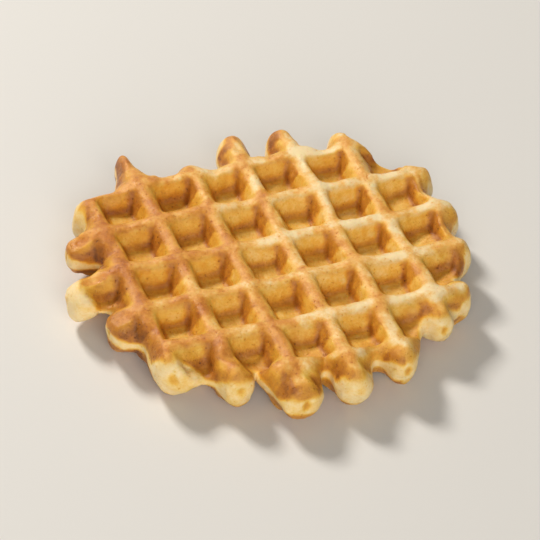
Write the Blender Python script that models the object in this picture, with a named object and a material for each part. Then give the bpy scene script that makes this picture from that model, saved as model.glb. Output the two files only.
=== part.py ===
"""A small butter waffle: a square grid of pockets on both faces, and the uneven, cog-like rim of dough
that ran out along the grooves of the iron.

The grid is counted in pitches: columns along +X and rows towards -Y. Pockets lie at whole numbers and
ridges half way between them. The origin is below the middle of the waffle, on the surface it lies on.
"""

import math

import bmesh
import bpy
import numpy as np
from mathutils import Vector
from mathutils.geometry import delaunay_2d_cdt

# Driving dimensions, in metres
PITCH = 0.0145
THICKNESS = 0.0160
WEB = 0.0029

# The pockets, in pitches: half the side of their mouth, the radius of its corners, and how far in from
# the mouth's edge the rounded shoulder and the wall end. The wall's top is a share of the pocket's depth.
MOUTH_HALF = 0.460
MOUTH_RADIUS = 0.150
SHOULDER_RUN = 0.080
WALL_RUN = 0.225
WALL_TOP = 0.86

# How uneven the faces are, in metres: how much the upper crests differ in height, how far they hang between
# two crossings, and how much the floors differ. The lower crests all reach the surface it lies on.
UNEVEN_CRESTS = 0.00045
HANGING_CRESTS = 0.0007
UNEVEN_FLOORS = 0.00035

# The free rim: how far in its rounding goes, as a share of the height there, and within how many pitches
# of the edge the ridges grow wider, by how many pitches, and the web thinner, by what share
ROUNDING = 0.6
PLUMP_DEPTH = 0.50
PLUMPER = 0.07
THINNER = 0.30

# The edge in plan, where the two faces meet, in pitches and clockwise as seen from above. An end of the
# dough has the side it points to, the ridge it runs along, how far it reaches, half its width, the length
# of its nose, and how far it leans off its ridge. Between the ends the edge passes through a column and row.
EDGE = (
    ("left", 2.5, -0.19, 0.29, 0.24, 0.03),
    (0.16, 2.08),
    ("left", 1.5, -0.60, 0.30, 0.26, 0.12),
    (0.34, 1.00),
    ("left", 0.5, -0.26, 0.27, 0.24, 0.02),
    (0.30, 0.02),
    (0.16, -0.30),
    (0.36, -0.58),
    (1.00, -0.66),
    ("back", 1.5, -1.54, 0.20, 0.50, -0.05),
    (1.98, -0.70),
    ("back", 2.5, -0.90, 0.26, 0.16, 0.00),
    (2.98, -0.74),
    ("back", 3.5, -1.46, 0.25, 0.34, 0.03),
    (4.02, -0.74),
    ("back", 4.5, -1.40, 0.28, 0.32, -0.04),
    (5.02, -0.68),
    ("back", 5.5, -1.02, 0.25, 0.28, 0.02),
    (5.96, -0.42),
    (6.22, 0.00),
    ("right", 0.5, 6.82, 0.26, 0.26, 0.00),
    (6.56, 1.00),
    ("right", 1.5, 6.88, 0.29, 0.24, 0.03),
    (6.56, 2.02),
    ("right", 2.5, 6.72, 0.25, 0.24, 0.00),
    (6.30, 3.00),
    ("right", 3.5, 6.34, 0.24, 0.22, -0.04),
    (5.94, 3.80),
    ("front", 5.5, 4.10, 0.25, 0.22, 0.05),
    (5.06, 4.14),
    ("front", 4.5, 4.86, 0.30, 0.34, 0.06),
    (4.06, 4.46),
    ("front", 3.5, 5.13, 0.35, 0.46, 0.06),
    (3.11, 4.44),
    ("front", 2.5, 5.15, 0.46, 0.48, 0.04),
    (1.96, 4.20),
    ("front", 1.5, 4.55, 0.29, 0.36, 0.06),
    (1.02, 4.06),
    (0.70, 4.02),
    (0.42, 3.90),
    (0.30, 3.64),
    (0.32, 3.06),
)
POINTING = {"left": (-1, 0), "back": (0, -1), "right": (1, 0), "front": (0, 1)}

# The edge's curve: where a nose's points lie, in degrees off its tip, and the steps between two points
NOSE_TURNS = (-80, -42, 0, 42, 80)
STEPS_BETWEEN = 2

# The mesh along the edge, in pitches: how far in its rings lie, then the step of the even points and the
# depths between which they lie. Further in than that, the mesh follows the grid.
RINGS = (0.03, 0.09)
RIM_STEP = 0.075
RIM_FROM = 0.13
RIM_TO = 0.31

SHARP_ANGLE = 35
CRUST = (0.62, 0.33, 0.10, 1.0)


def clear_scene():
    for thing in list(bpy.data.objects):
        bpy.data.objects.remove(thing, do_unlink=True)


def crust_material():
    material = bpy.data.materials.new("crust")
    material.use_nodes = True
    shader = material.node_tree.nodes["Principled BSDF"]
    shader.inputs["Base Color"].default_value = CRUST
    shader.inputs["Roughness"].default_value = 0.5
    shader.inputs["Metallic"].default_value = 0.0
    return material


def nose(side, ridge, reach, half_width, length, lean):
    """The rounded end of the dough along one ridge, as points across it."""
    forward = np.array(POINTING[side], float)
    across = np.array([-forward[1], forward[0]])
    tip = np.where(forward == 0, ridge + lean, reach)
    turns = np.radians(NOSE_TURNS)[:, None]
    return tip + forward * length * (np.cos(turns) - 1) + across * half_width * np.sin(turns)


def smooth_loop(points, steps):
    """A closed curve through the points, with steps to each stretch between them."""
    before, after = np.roll(points, 1, axis=0), np.roll(points, -1, axis=0)
    beyond = np.roll(points, -2, axis=0)
    stretches = []
    for t in np.arange(steps) / steps:
        stretches.append(
            0.5
            * (
                2 * points
                + (after - before) * t
                + (2 * before - 5 * points + 4 * after - beyond) * t**2
                + (3 * points - before - 3 * after + beyond) * t**3
            )
        )
    return np.stack(stretches, axis=1).reshape(-1, 2)


def outline():
    """The waffle's edge in plan, as one smooth loop of points in pitches."""
    points = []
    for item in EDGE:
        points.extend(nose(*item) if len(item) > 2 else [item])
    return smooth_loop(np.array(points), STEPS_BETWEEN)


def depth_inside(places, edge):
    """How far each place lies inside the edge, in pitches, and less than 0 outside it."""
    start, end = edge, np.roll(edge, -1, axis=0)
    along = end - start
    offset = places[:, None, :] - start[None]
    share = np.clip((offset * along).sum(2) / (along**2).sum(1), 0, 1)
    distance = np.linalg.norm(offset - share[..., None] * along, axis=2).min(axis=1)
    x, y = places[:, 0, None], places[:, 1, None]
    spans = (start[:, 1] > y) != (end[:, 1] > y)
    rise = np.where(along[:, 1] == 0, 1, along[:, 1])
    crossing = start[:, 0] + (y - start[:, 1]) / rise * along[:, 0]
    inside = (spans & (crossing > x)).sum(axis=1) % 2 == 1
    return np.where(inside, distance, -distance)


def ridge_share(places, wider=0):
    """The height there as a share of the pockets' depth: 1 on the ridges and 0 on a pocket's floor."""
    corner = np.abs(places - np.round(places)) - (MOUTH_HALF - MOUTH_RADIUS)
    outside = np.linalg.norm(np.maximum(corner, 0), axis=1)
    inside = np.minimum(corner.max(axis=1), 0)
    into_pocket = MOUTH_RADIUS - outside - inside - wider
    return np.interp(into_pocket, (0, SHOULDER_RUN, WALL_RUN), (1, WALL_TOP, 0))


def unevenness(places, phase):
    """A slow wave from -1 to 1 over the grid, so that no two pockets are quite alike."""
    column, row = places[:, 0], places[:, 1]
    wave = np.sin(1.9 * column + 0.8 * row + phase) + np.sin(2.7 * row - 1.1 * column + 2 * phase)
    return 0.5 * wave


def half_thickness(places, edge, crest_uneven, crest_hanging, phase):
    """The height of one face above the middle plane, in metres."""
    wave = unevenness(places, phase)
    inside = np.clip(depth_inside(places, edge), 0, None)
    near_edge = np.clip(1 - inside / PLUMP_DEPTH, 0, 1)
    share = ridge_share(places, PLUMPER * near_edge)
    floor = (WEB / 2 + UNEVEN_FLOORS * wave) * (1 - THINNER * near_edge)
    from_crossing = 2 * np.abs(places - np.floor(places) - 0.5).max(axis=1)
    crest = THICKNESS / 2 - crest_uneven * (1 + wave) / 2 - crest_hanging * from_crossing**2
    full = floor + (crest - floor) * share
    rounding = np.clip(inside * PITCH / (ROUNDING * full), 0, 1)
    return full * np.sqrt(1 - (1 - rounding) ** 2)


def grid_lines(low, high):
    """The lines of the mesh from low to high, in pitches: the edges of the pockets' mouths and floors."""
    offsets = MOUTH_HALF - np.array((0, SHOULDER_RUN, WALL_RUN))
    pockets = np.arange(math.floor(low), math.ceil(high) + 1)
    lines = np.sort((pockets[:, None] + np.concatenate([-offsets, offsets])).ravel())
    return lines[(lines > low) & (lines < high)]


def rim_places(edge):
    """Evenly spaced places along the edge, between its rings and the grid's own lines."""
    steps = [np.arange(low, high, RIM_STEP) for low, high in zip(edge.min(axis=0), edge.max(axis=0))]
    places = np.array([(column, row) for column in steps[0] for row in steps[1]])
    places = np.round(places / RIM_STEP) * RIM_STEP + RIM_STEP / 2
    depth = depth_inside(places, edge)
    return places[(depth > RIM_FROM) & (depth < RIM_TO - RIM_STEP / 2)]


def plan_mesh(edge):
    """Triangles that fill the edge: rings along it, and the grid's own lines inside them."""
    tangent = np.roll(edge, -1, axis=0) - np.roll(edge, 1, axis=0)
    inward = np.stack([-tangent[:, 1], tangent[:, 0]], axis=1)
    inward /= np.linalg.norm(inward, axis=1)[:, None]
    points, borders = [], []
    for step_in in (0, *RINGS):
        first = len(points)
        points.extend(edge + step_in * inward)
        count = len(edge)
        borders += [(first + i, first + (i + 1) % count) for i in range(count)]

    columns = grid_lines(edge[:, 0].min(), edge[:, 0].max())
    rows = grid_lines(edge[:, 1].min(), edge[:, 1].max())
    lattice = np.array([(column, row) for column in columns for row in rows])
    kept = depth_inside(lattice, edge) > RIM_TO
    number = np.full(len(lattice), -1)
    number[kept] = len(points) + np.arange(kept.sum())
    points.extend(lattice[kept])
    number = number.reshape(len(columns), len(rows))
    height = ridge_share(lattice).reshape(number.shape)
    borders += zip(number[:-1].ravel(), number[1:].ravel())
    borders += zip(number[:, :-1].ravel(), number[:, 1:].ravel())
    for i, j in np.ndindex(len(columns) - 1, len(rows) - 1):
        middle = np.array([[columns[i] + columns[i + 1], rows[j] + rows[j + 1]]]) / 2
        there = ridge_share(middle)[0]
        one = abs(height[i, j] + height[i + 1, j + 1] - 2 * there)
        other = abs(height[i + 1, j] + height[i, j + 1] - 2 * there)
        if one < other:
            borders.append((number[i, j], number[i + 1, j + 1]))
        else:
            borders.append((number[i + 1, j], number[i, j + 1]))
    borders = [pair for pair in borders if min(pair) >= 0]
    points.extend(rim_places(edge))
    face = list(range(len(edge)))
    places, _, triangles, *_ = delaunay_2d_cdt(
        [Vector(point) for point in points], [tuple(map(int, pair)) for pair in borders], [face], 1, 1e-5
    )
    return np.array([tuple(place) for place in places]), triangles


def waffle():
    edge = outline()
    places, triangles = plan_mesh(edge)
    on_edge = depth_inside(places, edge) < 1e-3
    above = half_thickness(places, edge, UNEVEN_CRESTS, HANGING_CRESTS, phase=0.6)
    below = half_thickness(places, edge, 0, 0, phase=2.9)
    middle = (edge.min(axis=0) + edge.max(axis=0)) / 2
    flat = (places - middle) * (PITCH, -PITCH)

    mesh = bmesh.new()
    top, bottom = [], []
    for (x, y), up, down, shared in zip(flat, above, below, on_edge):
        if shared:
            rim = mesh.verts.new((x, y, THICKNESS / 2))
            top.append(rim)
            bottom.append(rim)
        else:
            top.append(mesh.verts.new((x, y, THICKNESS / 2 + up)))
            bottom.append(mesh.verts.new((x, y, THICKNESS / 2 - down)))
    for corners in triangles:
        if on_edge[list(corners)].all():
            continue
        mesh.faces.new([top[corner] for corner in corners])
        mesh.faces.new([bottom[corner] for corner in reversed(corners)])
    bmesh.ops.delete(mesh, geom=[v for v in mesh.verts if not v.link_faces], context="VERTS")
    bmesh.ops.recalc_face_normals(mesh, faces=mesh.faces)
    data = bpy.data.meshes.new("waffle")
    mesh.to_mesh(data)
    mesh.free()
    data.materials.append(crust_material())
    data.shade_smooth()
    data.set_sharp_from_angle(angle=math.radians(SHARP_ANGLE))
    made = bpy.data.objects.new("waffle", data)
    bpy.context.scene.collection.objects.link(made)
    return made


clear_scene()
waffle()
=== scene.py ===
import math

import bpy
import numpy as np
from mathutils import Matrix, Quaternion, Vector
from mathutils.kdtree import KDTree


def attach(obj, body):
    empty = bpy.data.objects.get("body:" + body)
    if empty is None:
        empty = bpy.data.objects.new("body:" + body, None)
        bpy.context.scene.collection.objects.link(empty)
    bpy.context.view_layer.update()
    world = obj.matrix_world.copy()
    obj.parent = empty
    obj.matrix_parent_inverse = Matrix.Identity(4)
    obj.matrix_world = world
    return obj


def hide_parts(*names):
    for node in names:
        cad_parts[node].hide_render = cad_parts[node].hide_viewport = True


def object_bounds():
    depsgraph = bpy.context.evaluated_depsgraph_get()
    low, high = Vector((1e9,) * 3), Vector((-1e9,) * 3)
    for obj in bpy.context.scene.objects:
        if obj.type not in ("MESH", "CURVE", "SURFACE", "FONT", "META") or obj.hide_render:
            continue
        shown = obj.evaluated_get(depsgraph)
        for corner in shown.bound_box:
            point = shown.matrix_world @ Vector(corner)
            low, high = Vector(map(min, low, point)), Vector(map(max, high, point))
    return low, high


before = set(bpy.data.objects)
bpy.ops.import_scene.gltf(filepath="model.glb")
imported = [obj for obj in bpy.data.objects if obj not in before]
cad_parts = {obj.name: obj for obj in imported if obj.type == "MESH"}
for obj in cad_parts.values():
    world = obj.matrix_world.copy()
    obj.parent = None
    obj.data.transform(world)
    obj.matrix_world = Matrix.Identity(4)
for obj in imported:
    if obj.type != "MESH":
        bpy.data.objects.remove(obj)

CAD_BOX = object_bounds()

# The grid, as in the solid: pitch and thickness in metres, and the column and row over the origin
PITCH = 0.0145
THICKNESS = 0.0160
HALF_HEIGHT = THICKNESS / 2
GRID_MIDDLE = (3.14, 1.805)

# A pocket's section in pitches, as in the solid, and the share of the height where its wall begins
MOUTH_HALF = 0.460
MOUTH_RADIUS = 0.150
SHOULDER_RUN = 0.080
WALL_RUN = 0.225
WALL_TOP = 0.86
FLOOR_HALF = MOUTH_HALF - WALL_RUN

# Each end of the dough: column and row of its tip, how far it is pale in pitches, and how round its knob is
ENDS = (
    (-0.19, 2.53, 0.13, 0.7),
    (-0.60, 1.62, 0.50, 1.0),
    (-0.26, 0.52, 0.14, 0.6),
    (0.14, -0.36, 0.40, 0.6),
    (1.45, -1.54, 0.05, 0.0),
    (2.50, -0.90, 0.13, 0.4),
    (3.53, -1.46, 0.30, 0.9),
    (4.46, -1.40, 0.20, 0.8),
    (5.52, -1.02, 0.34, 0.9),
    (6.82, 0.50, 0.28, 0.8),
    (6.88, 1.53, 0.20, 0.9),
    (6.72, 2.50, 0.34, 0.8),
    (6.34, 3.46, 0.24, 0.9),
    (5.55, 4.10, 0.36, 1.0),
    (4.56, 4.86, 0.24, 0.9),
    (3.56, 5.13, 0.30, 1.0),
    (2.54, 5.15, 0.20, 0.8),
    (1.56, 4.55, 0.26, 1.0),
    (0.55, 3.96, 0.46, 1.0),
)

# Ends with a dished top: column and row of its middle, its radius in pitches and its depth in metres
DISHES = (
    (-0.02, 0.52, 0.26, 0.0022),
    (-0.12, 1.60, 0.26, 0.0012),
    (0.05, 2.52, 0.20, 0.0010),
    (2.52, 4.72, 0.22, 0.0010),
)
DISH_REACH = 1.3

# The knob at the front of each end: radius in pitches, swell in metres, and the rest in radii or shares
KNOB_RADIUS = 0.26
KNOB_SWELL = 0.0008
KNOB_RAMP = (1.7, 0.8)
NECK_PLACE = 2.0
NECK_WIDTH = 0.5
NECK_DEPTH = 0.4
LESS_OUTWARD = 0.8

# The dimple in each end: its lift, half width and half height in metres, and its strength, from and to
DIMPLE_LIFT = (0.0002, 0.0016)
DIMPLE_SLIM = (0.0009, 0.0013)
DIMPLE_TALL = (0.0016, 0.0026)
DIMPLE_STRENGTH = (0.2, 1.0)
DIMPLE_REACH = 1.25
DIMPLE_DEPTH = 0.00055
# How much darker the dimples are made
DIMPLE_DARKENING = 0.45

# The fine mesh: the size of its first faces in metres, how it is smoothed, and how many faces stay
VOXEL = 0.00046
SMOOTHING_FACTOR = 0.5
SMOOTHING_ROUNDS = 20
MOST_TRIANGLES = 190000
SEED = 41

# Relief as layers of (height, size of the lumps, seed) in metres, and the rim's band in pitches
DRIFT_IN_X = ((0.00060, 0.016, 1), (0.00042, 0.006, 2))
DRIFT_IN_Y = ((0.00060, 0.016, 3), (0.00042, 0.006, 4))
CRUST_RELIEF = ((0.00028, 0.0048, 7), (0.00011, 0.0019, 8))
RIM_RELIEF = (0.00035, 0.0055, 9)
RIM_BAND = 0.5

# What the crests lose: depth in metres, and the noise that varies it as (size of the lumps, seed)
CREST_FROM = 0.6
HANGING_DEPTH = 0.0006
HANGING_NOISE = (0.009, 10)
WEAR_DEPTH = 0.0004
WEAR_NOISE = (0.007, 5)
NOTCH_DEPTH = 0.0006
NOTCH_NOISE = (0.0036, 6)
NOTCH_FROM = 0.30

# Blisters, and pits with a height below 0: how many, largest radius and height in metres, and the seed
BLISTERS = ((420, 0.0011, 0.00020, SEED), (300, 0.0007, -0.0002, SEED + 1))
BLISTER_RADII = (0.5, 1.0)
BLISTER_HEIGHTS = (0.4, 1.0)
DOME_POWER = 1.5

# Where browning and painted shade differ, as (start or end, run) of a soft ramp, or as (width, reach)
# around a place
LEFT_FROM_COLUMN = 4.2
CREST_RAMP = (0.60, 0.35)
WALL_RAMP = (0.15, 0.3)
FLOOR_RAMP = (0.4, 0.3)
SHADED_RAMP = (0.17, 0.12)
FOOT_SHADE_BAND = (0.08, 1.1)
BROWN_RIM = (0.5, 1.3)
PALE_END = (0.45, 1.5)

# Toast is 0 for raw dough and 1 for dark crust; the same scale also carries painted shade in the pockets.
# This is what it is all over, and in blotches
TOAST = 0.31
TOAST_LEFT = 0.05
BLOTCHES = ((0.09, 0.012, 20), (0.09, 0.0048, 21), (0.11, 0.0021, 27))
BLOTCH_WEIGHT = 0.5
BLOTCH_WEIGHT_ADDED_HIGH = 0.6

# Toast on the crests, with brown and cream patches
CREST_TOAST_LEFT = 0.28
CREST_TOAST_COLUMNS = 0.05
BROWN_PATCHES = 0.14
BROWN_NOISE = (0.0034, 28)
CREAM_PATCHES = 0.26
CREAM_LESS_LEFT = 0.7
CREAM_NOISE = (0.0050, 25)
CREAM_SHARE = 0.5
CREAM_CONTRAST = 1.8

# Toast in the pockets and on the sides: painted shade in each pocket's far right corner, on left-facing
# walls and at the feet, and real browning near the rim
SHADED_CORNER_PAINTED_SHADE = 0.37
LEFT_WALL_PAINTED_SHADE = 0.10
FOOT_PAINTED_SHADE = 0.28
RIM_TOAST = 0.22
RIM_TOAST_LEFT = 0.12

# Toast past a limit is held back: the limit, and the share that is lost
CREST_LIMIT = (0.62, 0.6)
CRUST_LIMIT = (0.72, 0.5)

# The pale rim: its reach in pitches, its soft edge, and its toast, with layers of noise on both
RIM_REACH = 0.085
RIM_REACH_LAYERS = ((0.03, 0.005, 22),)
END_REACH_LAYERS = ((0.07, 0.003, 26),)
RIM_FADE = 0.05
RIM_FADE_SHARE = 0.5
PALE_TOAST = 0.09
PALE_LAYERS = ((0.08, 0.0065, 23), (0.07, 0.002, 24))

# The sRGB colour of each share of toast and painted shade, from pale dough to dark crust
IN_POCKETS = (
    (0.00, (252, 225, 170)),
    (0.16, (247, 210, 132)),
    (0.30, (239, 191, 84)),
    (0.44, (228, 167, 58)),
    (0.60, (208, 142, 46)),
    (0.80, (177, 108, 35)),
    (1.00, (120, 69, 22)),
)
ON_CRESTS = (
    (0.00, (252, 226, 174)),
    (0.16, (247, 207, 141)),
    (0.30, (240, 184, 98)),
    (0.44, (228, 159, 74)),
    (0.60, (209, 133, 57)),
    (0.80, (180, 103, 41)),
    (1.00, (122, 66, 26)),
)

# The shader's noises, as (scale, detail, roughness), and how much each adds
MOTTLE_NOISE = (420, 5, 0.6)
MOTTLE = 0.46
SPECK_NOISE = (1700, 3, 0.6)
SPECK = 0.24
FROST_NOISE = (900, 3, 0.5)
FROST = 0.35
PORE_NOISE = (1300, 2, 0.5)
PORE_FROM = 0.63
PORE_CONTRAST = 8
# How much darker the pores are made
PORE_DARKENING = 0.22
PORE_DEPTH = 0.5
GRAIN_NOISE = (1100, 7, 0.7)
GRAIN_STRENGTH = 0.65
GRAIN_METRES = 0.0004
GLOSS_NOISE = (800, 5, 0.55)
GLOSS_RANGE = 0.7
GLOSS_FROM = 0.02
SPECULAR = 0.38

# Light inside the crumb: its weight, its reach in metres, and the shares of that for red, green and blue
CRUMB_WEIGHT = 0.18
CRUMB_REACH = 0.0018
CRUMB_COLOURS = (1.0, 0.5, 0.2)

# The floor: its side in metres, its sRGB colour and its roughness
FLOOR_SIDE = 6
FLOOR_COLOUR = (222, 220, 216)
FLOOR_ROUGHNESS = 0.6

# Square lights: azimuth and elevation in degrees, distance and side in metres, power in watts, and colour
WARM_WHITE = (1.0, 0.96, 0.90)
LIGHTS = {
    "key": (-20, 42, 1.2, 0.24, 12.5, WARM_WHITE),
    "front": (196, 30, 1.4, 1.0, 13, WARM_WHITE),
}
SKY_COLOUR = (1.0, 0.97, 0.92, 1)
SKY_STRENGTH = 0.16

# The photograph's camera: degrees, metres, and pixels of focal length for a frame of FRAME_PX
VIEW_AZIMUTH = -25.2
VIEW_ELEVATION = 43.8
VIEW_ROLL = 6.3
VIEW_DISTANCE = 0.856
PHOTO_FOCAL_PX = 1447
FRAME_PX = 540
CLOSER = 2.3
SENSOR_MM = 36


def scattered(keys, seed):
    """A number from 0 to 1 for each whole number in keys, the same on every run."""
    mixed = keys.astype(np.uint64) * np.uint64(0x9E3779B97F4A7C15) + np.uint64(seed * 7919 + 17)
    mixed ^= mixed >> np.uint64(31)
    mixed *= np.uint64(0xBF58476D1CE4E5B9)
    mixed ^= mixed >> np.uint64(29)
    return (mixed & np.uint64(0xFFFFFF)).astype(float) / 0xFFFFFF


def lumps(points, size, seed):
    """Smooth noise from -1 to 1 at each point, with lumps about size metres across."""
    cell = points / size
    whole = np.floor(cell).astype(np.int64)
    part = cell - whole
    part = part**3 * (part * (part * 6 - 15) + 10)
    total = np.zeros(len(points))
    for corner in np.ndindex(2, 2, 2):
        at = whole + corner
        key = at[:, 0] * 73856093 + at[:, 1] * 19349663 + at[:, 2] * 83492791
        weight = np.prod(np.where(corner, part, 1 - part), axis=1)
        total += weight * scattered(key, seed)
    return 2 * total - 1


def patches(points, size, seed):
    """The same noise from 0 to 1."""
    return 0.5 + 0.5 * lumps(points, size, seed)


def layered(points, layers, start=0.0):
    """A start value with several noises on it, each with its own height."""
    total = np.full(len(points), start)
    for height, size, seed in layers:
        total += height * lumps(points, size, seed)
    return total


def eased(values):
    """Values held between 0 and 1, with a soft start and stop."""
    held = np.clip(values, 0, 1)
    return held * held * (3 - 2 * held)


def rising(values, start, run):
    """0 up to start, and 1 from one run further on."""
    return eased((values - start) / run)


def falling(values, end, run):
    """1 up to one run before end, and 0 from there on."""
    return eased((end - values) / run)


def near(gaps, width, reach):
    """1 where a gap is small, and 0 where it is more than reach times the width."""
    return eased(reach - gaps / width)


def past(values, limit, share):
    """The share to take off values past a limit, so that they are held back there."""
    return share * np.maximum(values - limit, 0)


def fine_copy(node):
    """A new object with the node's form, remeshed in small even faces with softened edges."""
    rough = bpy.data.objects.new("rough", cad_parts[node].data.copy())
    bpy.context.scene.collection.objects.link(rough)
    remesh = rough.modifiers.new("even", "REMESH")
    remesh.mode = "VOXEL"
    remesh.voxel_size = VOXEL
    soften = rough.modifiers.new("soften", "SMOOTH")
    soften.factor = SMOOTHING_FACTOR
    soften.iterations = SMOOTHING_ROUNDS
    graph = bpy.context.evaluated_depsgraph_get()
    mesh = bpy.data.meshes.new_from_object(rough.evaluated_get(graph))
    bpy.data.objects.remove(rough)
    mesh.name = node + "_crust"
    fine = bpy.data.objects.new(node + "_crust", mesh)
    bpy.context.scene.collection.objects.link(fine)
    return fine


def free_edge(node):
    """Points along the solid's edge in plan, where its two faces meet at half height."""
    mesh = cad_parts[node].data
    tolerance = 1e-5
    points_per_edge = 6
    on_edge = {v.index for v in mesh.vertices if abs(v.co.z - HALF_HEIGHT) < tolerance}
    steps = np.linspace(0, 1, points_per_edge, endpoint=False)
    points = []
    for edge in mesh.edges:
        if set(edge.vertices) <= on_edge:
            start, end = (np.array(mesh.vertices[i].co) for i in edge.vertices)
            points.extend(start + (end - start) * step for step in steps)
    return points


def tree_of(points):
    """The points in a tree, which finds the ones near a place."""
    tree = KDTree(len(points))
    for i, point in enumerate(points):
        tree.insert(point, i)
    tree.balance()
    return tree


def distance_to(points, places):
    """How far each place is from the nearest of the points."""
    tree = tree_of(points)
    return np.array([tree.find(place)[2] for place in places])


def on_grid(places):
    """The column and row of each place. Columns grow along +X, and rows towards -Y."""
    return places[:, :2] / PITCH * (1, -1) + GRID_MIDDLE


def ridge_share(grid):
    """1 on the ridges and 0 on a pocket's floor, as in the solid."""
    corner = np.abs(grid - np.round(grid)) - (MOUTH_HALF - MOUTH_RADIUS)
    outside = np.linalg.norm(np.maximum(corner, 0), axis=1)
    inside = np.minimum(corner.max(axis=1), 0)
    into_pocket = MOUTH_RADIUS - outside - inside
    return np.interp(into_pocket, (0, SHOULDER_RUN, WALL_RUN), (1, WALL_TOP, 0))


def dimples(places):
    """How deep each place is in an end's dimple, a short upright slit. It is at most 1, at its middle."""
    rng = np.random.default_rng(SEED + 2)
    deep = np.zeros(len(places))
    for column, row, _, _ in ENDS:
        x = (column - GRID_MIDDLE[0]) * PITCH
        y = (GRID_MIDDLE[1] - row) * PITCH
        z = HALF_HEIGHT + rng.uniform(*DIMPLE_LIFT)
        slim = rng.uniform(*DIMPLE_SLIM)
        tall = rng.uniform(*DIMPLE_TALL)
        flat = np.hypot(places[:, 0] - x, places[:, 1] - y) / slim
        away = np.hypot(flat, (places[:, 2] - z) / tall)
        deep = np.maximum(deep, rng.uniform(*DIMPLE_STRENGTH) * eased(DIMPLE_REACH - away))
    return deep


def vectors(mesh, name):
    """The places or the normals of a mesh's vertices, one row for each."""
    flat = np.empty(len(mesh.vertices) * 3, np.float32)
    mesh.vertices.foreach_get(name, flat)
    return flat.reshape(-1, 3).astype(float)


class Surface:
    """The fine mesh before it is made uneven, with what is known of each vertex."""

    def __init__(self, mesh):
        self.places = vectors(mesh, "co")
        self.normals = vectors(mesh, "normal")
        self.grid = on_grid(self.places)
        self.across = np.abs(self.grid - np.round(self.grid))
        self.share = ridge_share(self.grid)
        self.rim = distance_to(free_edge("waffle"), self.places) / PITCH
        self.pinch = dimples(self.places)

    def gap_to(self, column, row):
        """How far each vertex is in plan from a place on the grid, in pitches."""
        return np.hypot(self.grid[:, 0] - column, self.grid[:, 1] - row)


def crest_wear(surface):
    """How far the crests sink: they hang between the crossings, and are worn and notched here and there."""
    level = np.abs(surface.normals[:, 2])
    crest = np.clip((surface.share - CREST_FROM) / (1 - CREST_FROM), 0, 1) * level
    from_crossing = 1 - 2 * surface.across.min(axis=1)
    hanging = from_crossing**2 * patches(surface.places, *HANGING_NOISE)
    worn = patches(surface.places, *WEAR_NOISE)
    notch = np.clip(lumps(surface.places, *NOTCH_NOISE) - NOTCH_FROM, 0, 1)
    return crest * (HANGING_DEPTH * hanging + WEAR_DEPTH * worn + NOTCH_DEPTH * notch)


def dished(surface):
    """How far the dished tops of some ends sink."""
    sunk = np.zeros(len(surface.places))
    for column, row, radius, depth in DISHES:
        dish = near(surface.gap_to(column, row), radius, DISH_REACH)
        sunk += dish * depth * np.abs(surface.normals[:, 2])
    return sunk


def knobs(surface):
    """How each place shifts, for a swell of 1, as the ends swell to round knobs with a neck behind."""
    normals = surface.normals
    lift = (surface.places[:, 2] - HALF_HEIGHT) / PITCH
    shift = np.zeros_like(normals)
    strongest = np.zeros(len(normals))
    for column, row, _, roundness in ENDS:
        tip = np.array((column, row))
        outward = tip - GRID_MIDDLE
        outward /= np.linalg.norm(outward)
        flat = np.linalg.norm(surface.grid - tip + KNOB_RADIUS * outward, axis=1)
        away = np.hypot(flat, lift) / KNOB_RADIUS
        neck = NECK_DEPTH * near(np.abs(away - NECK_PLACE), NECK_WIDTH, 1)
        knob = roundness * (falling(away, *KNOB_RAMP) - neck)
        outward_xy = outward * (1, -1)
        sideways = normals.copy()
        sideways[:, :2] -= LESS_OUTWARD * (normals[:, :2] @ outward_xy)[:, None] * outward_xy
        stronger = np.abs(knob) > np.abs(strongest)
        strongest[stronger] = knob[stronger]
        shift[stronger] = knob[stronger, None] * sideways[stronger]
    return shift


def blisters(places, count, size, rise, seed):
    """Small domes, or pits where rise is less than 0, at random places on the surface."""
    rng = np.random.default_rng(seed)
    chosen = rng.choice(len(places), count, replace=False)
    radii = size * rng.uniform(*BLISTER_RADII, count)
    heights = rise * rng.uniform(*BLISTER_HEIGHTS, count)
    out = np.zeros(len(places))
    tree = tree_of(places)
    for centre, radius, height in zip(chosen, radii, heights):
        for _, i, gap in tree.find_range(places[centre], radius):
            dome = height * (1 - (gap / radius) ** 2) ** DOME_POWER
            if abs(dome) > abs(out[i]):
                out[i] = dome
    return out


def uneven(surface):
    """Where each vertex goes as the even grid gets the relief of baked dough."""
    places, normals = surface.places, surface.normals
    up = np.where(places[:, 2] > HALF_HEIGHT, 1.0, -1.0)
    moved = places.copy()
    moved[:, 0] += layered(places, DRIFT_IN_X)
    moved[:, 1] += layered(places, DRIFT_IN_Y)
    moved[:, 2] -= up * crest_wear(surface)
    moved[:, 2] -= up * dished(surface)

    swell = layered(places, CRUST_RELIEF)
    at_rim = np.clip(1 - surface.rim / RIM_BAND, 0, 1)
    height, size, seed = RIM_RELIEF
    swell += at_rim * height * lumps(places, size, seed) - DIMPLE_DEPTH * surface.pinch
    for kind in BLISTERS:
        swell += blisters(places, *kind)
    moved += normals * swell[:, None] + KNOB_SWELL * knobs(surface)
    return moved


def fitted(moved):
    """The same places, stretched a little so that their box is the solid's."""
    low, high = (np.array(corner) for corner in CAD_BOX)
    first, last = moved.min(axis=0), moved.max(axis=0)
    return low + (moved - first) * (high - low) / (last - first)


def pale_share(surface):
    """1 on the pale free rim and 0 on the crust. The rim is widest at the pale ends."""
    reach = layered(surface.places, RIM_REACH_LAYERS, RIM_REACH)
    varied = layered(surface.places, END_REACH_LAYERS)
    for column, row, pale_end, _ in ENDS:
        at_end = near(surface.gap_to(column, row), *PALE_END)
        reach = np.maximum(reach, (pale_end + varied) * at_end)
    return eased((reach - surface.rim) / (RIM_FADE + RIM_FADE_SHARE * reach) + 0.5)


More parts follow.
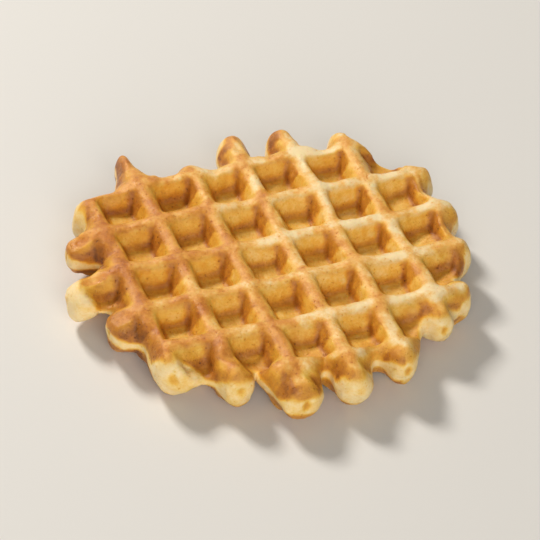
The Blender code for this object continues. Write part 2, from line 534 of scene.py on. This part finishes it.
def crest_toast(surface, leftness):
    """What a crest adds to the toast: more at the left and along columns, and brown and cream patches."""
    along_column = np.where(surface.across[:, 0] > surface.across[:, 1], 1.0, -1.0)
    brown = CREST_TOAST_LEFT * leftness + CREST_TOAST_COLUMNS * along_column
    brown += BROWN_PATCHES * lumps(surface.places, *BROWN_NOISE)
    cream = eased(CREAM_SHARE + CREAM_CONTRAST * lumps(surface.places, *CREAM_NOISE))
    return brown - CREAM_PATCHES * (1 - CREAM_LESS_LEFT * leftness) * cream


def low_toast_and_painted_shade(surface, leftness):
    """What a pocket or a side adds to the toast: painted shade in each pocket's far right corner and on
    left-facing walls at the left, and browning near the rim.
    """
    grid = surface.grid
    to_right = grid[:, 0] - np.round(grid[:, 0])
    # painted shade: each pocket's far right corner is darkened where shadow falls
    shaded = rising(to_right, *SHADED_RAMP) * (grid[:, 1] < np.round(grid[:, 1]))
    # painted shade: walls facing left, towards the key light, are darkened on the left part of the waffle
    faces_left = np.clip(-surface.normals[:, 0], 0, 1) * rising(surface.share, *WALL_RAMP)
    painted_wall_shade = SHADED_CORNER_PAINTED_SHADE * shaded + LEFT_WALL_PAINTED_SHADE * leftness * faces_left
    return painted_wall_shade + (RIM_TOAST + RIM_TOAST_LEFT * leftness) * near(surface.rim, *BROWN_RIM)


def browned_and_shaded(surface):
    """The toast of each vertex, with painted shade in pocket corners, at the feet and on left-facing walls,
    and how far it is on a crest.
    """
    leftness = np.clip((LEFT_FROM_COLUMN - surface.grid[:, 0]) / LEFT_FROM_COLUMN, 0, 1)
    high_up = rising(surface.share, *CREST_RAMP) * surface.normals[:, 2] ** 2
    # painted shade: a dark band where each pocket's walls meet its floor
    from_foot = np.abs(surface.across.max(axis=1) - FLOOR_HALF)
    painted_foot_shade = near(from_foot, *FOOT_SHADE_BAND) * falling(surface.share, *FLOOR_RAMP)

    blotches = layered(surface.places, BLOTCHES) * (BLOTCH_WEIGHT + BLOTCH_WEIGHT_ADDED_HIGH * high_up)
    toast_and_shade = TOAST + TOAST_LEFT * leftness + blotches
    toast_and_shade += high_up * crest_toast(surface, leftness)
    toast_and_shade -= high_up * past(toast_and_shade, *CREST_LIMIT)
    toast_and_shade += (1 - high_up) * low_toast_and_painted_shade(surface, leftness) + FOOT_PAINTED_SHADE * painted_foot_shade
    toast_and_shade -= past(toast_and_shade, *CRUST_LIMIT)

    free = pale_share(surface)
    pale = layered(surface.places, PALE_LAYERS, PALE_TOAST)
    toast_and_shade += (pale - toast_and_shade) * free + DIMPLE_DARKENING * surface.pinch
    return toast_and_shade, high_up * (1 - free)


def bake(piece):
    """Makes the even grid uneven, and stores what the material needs."""
    mesh = piece.data
    surface = Surface(mesh)
    moved = fitted(uneven(surface))
    mesh.vertices.foreach_set("co", moved.astype(np.float32).ravel())
    for name, values in zip(("toast_and_shade", "high"), browned_and_shaded(surface)):
        layer = mesh.attributes.new(name, "FLOAT", "POINT")
        layer.data.foreach_set("value", values.astype(np.float32))


def thin_out(piece, most):
    """Takes faces away where the surface is flattest, down to the number of triangles wanted."""
    triangles = sum(len(face.vertices) - 2 for face in piece.data.polygons)
    if triangles <= most:
        return
    fewer = piece.modifiers.new("fewer", "DECIMATE")
    fewer.ratio = most / triangles
    graph = bpy.context.evaluated_depsgraph_get()
    mesh = bpy.data.meshes.new_from_object(piece.evaluated_get(graph))
    piece.modifiers.clear()
    piece.data = mesh


def linear(red, green, blue):
    """An sRGB colour from 0 to 255 as the shader's linear one."""
    values = np.array((red, green, blue)) / 255
    low = values / 12.92
    high = ((values + 0.055) / 1.055) ** 2.4
    return (*np.where(values <= 0.04045, low, high), 1.0)


def crust_material():
    """Baked dough: pale or brown by the stored toast and painted shade, with a fine grain, pores and a
    faint uneven gloss.
    """
    material = bpy.data.materials.new("crust")
    material.use_nodes = True
    nodes, links = material.node_tree.nodes, material.node_tree.links
    shader = nodes["Principled BSDF"]

    def node(kind, **settings):
        made = nodes.new(kind)
        for key, value in settings.items():
            setattr(made, key, value)
        return made

    def attribute(name):
        return node("ShaderNodeAttribute", attribute_name=name).outputs["Fac"]

    def maths(operation, first, second, **settings):
        made = node("ShaderNodeMath", operation=operation, **settings)
        for socket, value in zip(made.inputs, (first, second)):
            if isinstance(value, (int, float)):
                socket.default_value = value
            else:
                links.new(value, socket)
        return made.outputs[0]

    where = node("ShaderNodeTexCoord").outputs["Object"]

    def noise(scale, detail, roughness):
        made = node("ShaderNodeTexNoise")
        links.new(where, made.inputs["Vector"])
        made.inputs["Scale"].default_value = scale
        made.inputs["Detail"].default_value = detail
        made.inputs["Roughness"].default_value = roughness
        return made.outputs["Fac"]

    def around_zero(settings):
        return maths("SUBTRACT", noise(*settings), 0.5)

    def browning(amount, stops):
        made = node("ShaderNodeValToRGB")
        elements = made.color_ramp.elements
        for element, (position, rgb) in zip(elements, (stops[0], stops[-1])):
            element.position = position
            element.color = linear(*rgb)
        for position, rgb in stops[1:-1]:
            elements.new(position).color = linear(*rgb)
        links.new(amount, made.inputs["Fac"])
        return made.outputs["Color"]

    high = attribute("high")
    mottle = maths("MULTIPLY", around_zero(MOTTLE_NOISE), MOTTLE)
    speck = maths("MULTIPLY", around_zero(SPECK_NOISE), SPECK)
    frost = maths("MULTIPLY", maths("MULTIPLY", around_zero(FROST_NOISE), high), FROST)
    over_pores = maths("SUBTRACT", noise(*PORE_NOISE), PORE_FROM)
    pores = maths("MULTIPLY", over_pores, PORE_CONTRAST, use_clamp=True)
    toast_and_shade = maths("ADD", maths("ADD", attribute("toast_and_shade"), mottle), speck)
    toast_and_shade = maths("SUBTRACT", toast_and_shade, frost)
    toast_and_shade = maths("ADD", toast_and_shade, maths("MULTIPLY", pores, PORE_DARKENING))

    colour = node("ShaderNodeMix", data_type="RGBA")
    links.new(high, colour.inputs["Factor"])
    links.new(browning(toast_and_shade, IN_POCKETS), colour.inputs["A"])
    links.new(browning(toast_and_shade, ON_CRESTS), colour.inputs["B"])
    links.new(colour.outputs["Result"], shader.inputs["Base Color"])

    gloss = maths("ADD", maths("MULTIPLY", noise(*GLOSS_NOISE), GLOSS_RANGE), GLOSS_FROM)
    links.new(gloss, shader.inputs["Roughness"])
    shader.inputs["Specular IOR Level"].default_value = SPECULAR
    shader.inputs["Subsurface Weight"].default_value = CRUMB_WEIGHT
    shader.inputs["Subsurface Radius"].default_value = CRUMB_COLOURS
    shader.inputs["Subsurface Scale"].default_value = CRUMB_REACH

    grain = node("ShaderNodeBump")
    grain.inputs["Strength"].default_value = GRAIN_STRENGTH
    grain.inputs["Distance"].default_value = GRAIN_METRES
    height = maths("SUBTRACT", noise(*GRAIN_NOISE), maths("MULTIPLY", pores, PORE_DEPTH))
    links.new(height, grain.inputs["Height"])
    links.new(grain.outputs["Normal"], shader.inputs["Normal"])
    return material


def waffle():
    """The one piece, which takes the place of the plain solid."""
    piece = fine_copy("waffle")
    bake(piece)
    thin_out(piece, MOST_TRIANGLES)
    piece.data.materials.clear()
    piece.data.materials.append(crust_material())
    piece.data.shade_smooth()
    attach(piece, "root")
    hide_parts("waffle")


def pale_floor():
    """The plain floor that the waffle lies on in the picture."""
    bpy.ops.mesh.primitive_plane_add(size=FLOOR_SIDE)
    floor = bpy.context.object
    floor.name = "floor"
    material = bpy.data.materials.new("pale_floor")
    material.use_nodes = True
    shader = material.node_tree.nodes["Principled BSDF"]
    shader.inputs["Base Color"].default_value = linear(*FLOOR_COLOUR)
    shader.inputs["Roughness"].default_value = FLOOR_ROUGHNESS
    floor.data.materials.append(material)


def area_light(name, azimuth, elevation, distance, size, power, colour):
    """A square light that shines on the origin, from behind along +Y at azimuth 0 and from +X at 90."""
    turn, rise = math.radians(azimuth), math.radians(elevation)
    towards = Vector((math.sin(turn) * math.cos(rise), math.cos(turn) * math.cos(rise), math.sin(rise)))
    light = bpy.data.lights.new(name, "AREA")
    light.size = size
    light.energy = power
    light.color = colour
    lamp = bpy.data.objects.new(name, light)
    lamp.location = towards * distance
    lamp.rotation_mode = "QUATERNION"
    lamp.rotation_quaternion = (-towards).to_track_quat("-Z", "Y")
    bpy.context.scene.collection.objects.link(lamp)


def studio():
    """A warm key light from behind, a large soft one from the front, and a faint even sky."""
    for name, settings in LIGHTS.items():
        area_light(name, *settings)
    world = bpy.data.worlds.new("studio")
    world.use_nodes = True
    background = world.node_tree.nodes["Background"]
    background.inputs["Color"].default_value = SKY_COLOUR
    background.inputs["Strength"].default_value = SKY_STRENGTH
    bpy.context.scene.world = world
    bpy.context.scene.view_settings.view_transform = "Standard"


def camera():
    """The photograph's angle, closer by a longer lens and aimed at the waffle's middle."""
    turn, rise = math.radians(VIEW_AZIMUTH), math.radians(VIEW_ELEVATION)
    back = Vector((math.sin(turn) * math.cos(rise), -math.cos(turn) * math.cos(rise), math.sin(rise)))
    lens = bpy.data.cameras.new("camera")
    lens.sensor_width = SENSOR_MM
    lens.lens = SENSOR_MM * PHOTO_FOCAL_PX * CLOSER / FRAME_PX
    eye = bpy.data.objects.new("camera", lens)
    target = Vector((0, 0, HALF_HEIGHT))
    eye.location = target + back * VIEW_DISTANCE
    eye.rotation_mode = "QUATERNION"
    roll = Quaternion((0, 0, 1), math.radians(VIEW_ROLL))
    eye.rotation_quaternion = (-back).to_track_quat("-Z", "Y") @ roll
    bpy.context.scene.collection.objects.link(eye)
    bpy.context.scene.camera = eye


waffle()
pale_floor()
studio()
camera()
